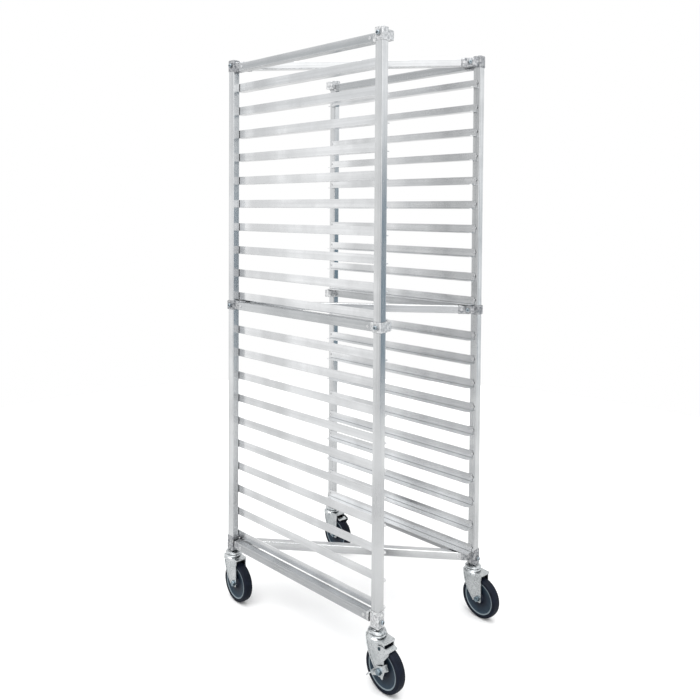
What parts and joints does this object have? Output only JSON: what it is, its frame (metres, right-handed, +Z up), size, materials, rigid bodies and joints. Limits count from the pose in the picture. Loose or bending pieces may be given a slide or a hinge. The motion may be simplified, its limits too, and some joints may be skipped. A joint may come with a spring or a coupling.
{
  "type": "sheet pan rack",
  "caption": "Mobile nesting sheet pan rack: square tube posts in cast corners, angle runners on both sides, diagonal braces and swivel casters with wheel brakes.",
  "frame": {"origin": "on the floor, under the middle of the whole rack's box", "axes": "+Z up, +X from the left side to the right side, pans slide in along +Y"},
  "size_m": [0.5882, 0.7412, 1.782],
  "materials": {
    "tube": "satin extruded",
    "runner": "satin extruded",
    "casting": "fine cast grain",
    "bolt": "bright zinc",
    "rivet": "satin",
    "zinc": "bright zinc plate",
    "wheel_core": "moulded",
    "tyre": "smooth solid rubber"
  },
  "bodies": {
    "frame": {"post_left_front": "tube", "post_right_front": "tube", "post_left_back": "tube", "post_right_back": "tube", "connector_top_left_front": "casting", "connector_top_right_front": "casting", "connector_top_left_back": "casting", "connector_top_right_back": "casting", "side_rail_top_left": "tube", "side_rail_top_right": "tube", "diagonal_top": "tube", "connector_middle_left_front": "casting", "connector_middle_right_front": "casting", "connector_middle_left_back": "casting", "connector_middle_right_back": "casting", "side_rail_middle_left": "tube", "side_rail_middle_right": "tube", "diagonal_middle": "tube", "connector_bottom_left_front": "casting", "connector_bottom_right_front": "casting", "connector_bottom_left_back": "casting", "connector_bottom_right_back": "casting", "side_rail_bottom_left": "tube", "side_rail_bottom_right": "tube", "diagonal_bottom": "tube", "runners_upper_left": "runner", "runners_upper_right": "runner", "runners_lower_left": "runner", "runners_lower_right": "runner", "connector_bolts": "bolt", "rail_rivets": "rivet", "runner_rivets": "rivet", "swivel_balls": "bolt", "caster_stem_left_front": "zinc", "caster_stem_right_front": "zinc", "caster_stem_left_back": "zinc", "caster_stem_right_back": "zinc"},
    "fork_left_front": {"caster_fork_left_front": "zinc", "caster_axle_left_front": "bolt", "brake_pin_left_front": "bolt"},
    "wheel_left_front": {"wheel_core_left_front": "wheel_core", "wheel_tyre_left_front": "tyre"},
    "brake_lever_left_front": {"brake_lever_left_front": "zinc"},
    "brake_shoe_left_front": {"brake_shoe_left_front": "zinc"},
    "fork_right_front": {"caster_fork_right_front": "zinc", "caster_axle_right_front": "bolt"},
    "wheel_right_front": {"wheel_core_right_front": "wheel_core", "wheel_tyre_right_front": "tyre"},
    "fork_left_back": {"caster_fork_left_back": "zinc", "caster_axle_left_back": "bolt"},
    "wheel_left_back": {"wheel_core_left_back": "wheel_core", "wheel_tyre_left_back": "tyre"},
    "fork_right_back": {"caster_fork_right_back": "zinc", "caster_axle_right_back": "bolt", "brake_pin_right_back": "bolt"},
    "wheel_right_back": {"wheel_core_right_back": "wheel_core", "wheel_tyre_right_back": "tyre"},
    "brake_lever_right_back": {"brake_lever_right_back": "zinc"},
    "brake_shoe_right_back": {"brake_shoe_right_back": "zinc"}
  },
  "joints": [
    {"name": "swivel_left_front", "type": "hinge", "parent": "frame", "child": "fork_left_front", "pos_m": [-0.245, -0.276, 0.1484], "axis": [0, 0, 1], "continuous": true},
    {"name": "spin_left_front", "type": "hinge", "parent": "fork_left_front", "child": "wheel_left_front", "pos_m": [-0.24835, -0.30783, 0.0625], "axis": [0.9945, -0.1045, 0], "continuous": true},
    {"name": "brake_lever_turn_left_front", "type": "hinge", "parent": "fork_left_front", "child": "brake_lever_left_front", "pos_m": [-0.24835, -0.30783, 0.0625], "axis": [-0.9945, 0.1045, 0], "range_deg": [0, 28]},
    {"name": "brake_shoe_turn_left_front", "type": "hinge", "parent": "fork_left_front", "child": "brake_shoe_left_front", "pos_m": [-0.24814, -0.30584, 0.1225], "axis": [0.9945, -0.1045, 0], "range_deg": [0, 6]},
    {"name": "swivel_right_front", "type": "hinge", "parent": "frame", "child": "fork_right_front", "pos_m": [0.245, -0.276, 0.1484], "axis": [0, 0, 1], "continuous": true},
    {"name": "spin_right_front", "type": "hinge", "parent": "fork_right_front", "child": "wheel_right_front", "pos_m": [0.24166, -0.30783, 0.0625], "axis": [0.9945, -0.1045, 0], "continuous": true},
    {"name": "swivel_left_back", "type": "hinge", "parent": "frame", "child": "fork_left_back", "pos_m": [-0.245, 0.34, 0.1484], "axis": [0, 0, 1], "continuous": true},
    {"name": "spin_left_back", "type": "hinge", "parent": "fork_left_back", "child": "wheel_left_back", "pos_m": [-0.24835, 0.30817, 0.0625], "axis": [0.9945, -0.1045, 0], "continuous": true},
    {"name": "swivel_right_back", "type": "hinge", "parent": "frame", "child": "fork_right_back", "pos_m": [0.245, 0.34, 0.1484], "axis": [0, 0, 1], "continuous": true},
    {"name": "spin_right_back", "type": "hinge", "parent": "fork_right_back", "child": "wheel_right_back", "pos_m": [0.24166, 0.30817, 0.0625], "axis": [0.9945, -0.1045, 0], "continuous": true},
    {"name": "brake_lever_turn_right_back", "type": "hinge", "parent": "fork_right_back", "child": "brake_lever_right_back", "pos_m": [0.24166, 0.30817, 0.0625], "axis": [-0.9945, 0.1045, 0], "range_deg": [0, 28]},
    {"name": "brake_shoe_turn_right_back", "type": "hinge", "parent": "fork_right_back", "child": "brake_shoe_right_back", "pos_m": [0.24186, 0.31016, 0.1225], "axis": [0.9945, -0.1045, 0], "range_deg": [0, 6]}
  ],
  "couplings": [
    {"joint": "brake_shoe_turn_left_front", "follows": "brake_lever_turn_left_front", "ratio": 0.21429},
    {"joint": "brake_shoe_turn_right_back", "follows": "brake_lever_turn_right_back", "ratio": 0.21429}
  ]
}
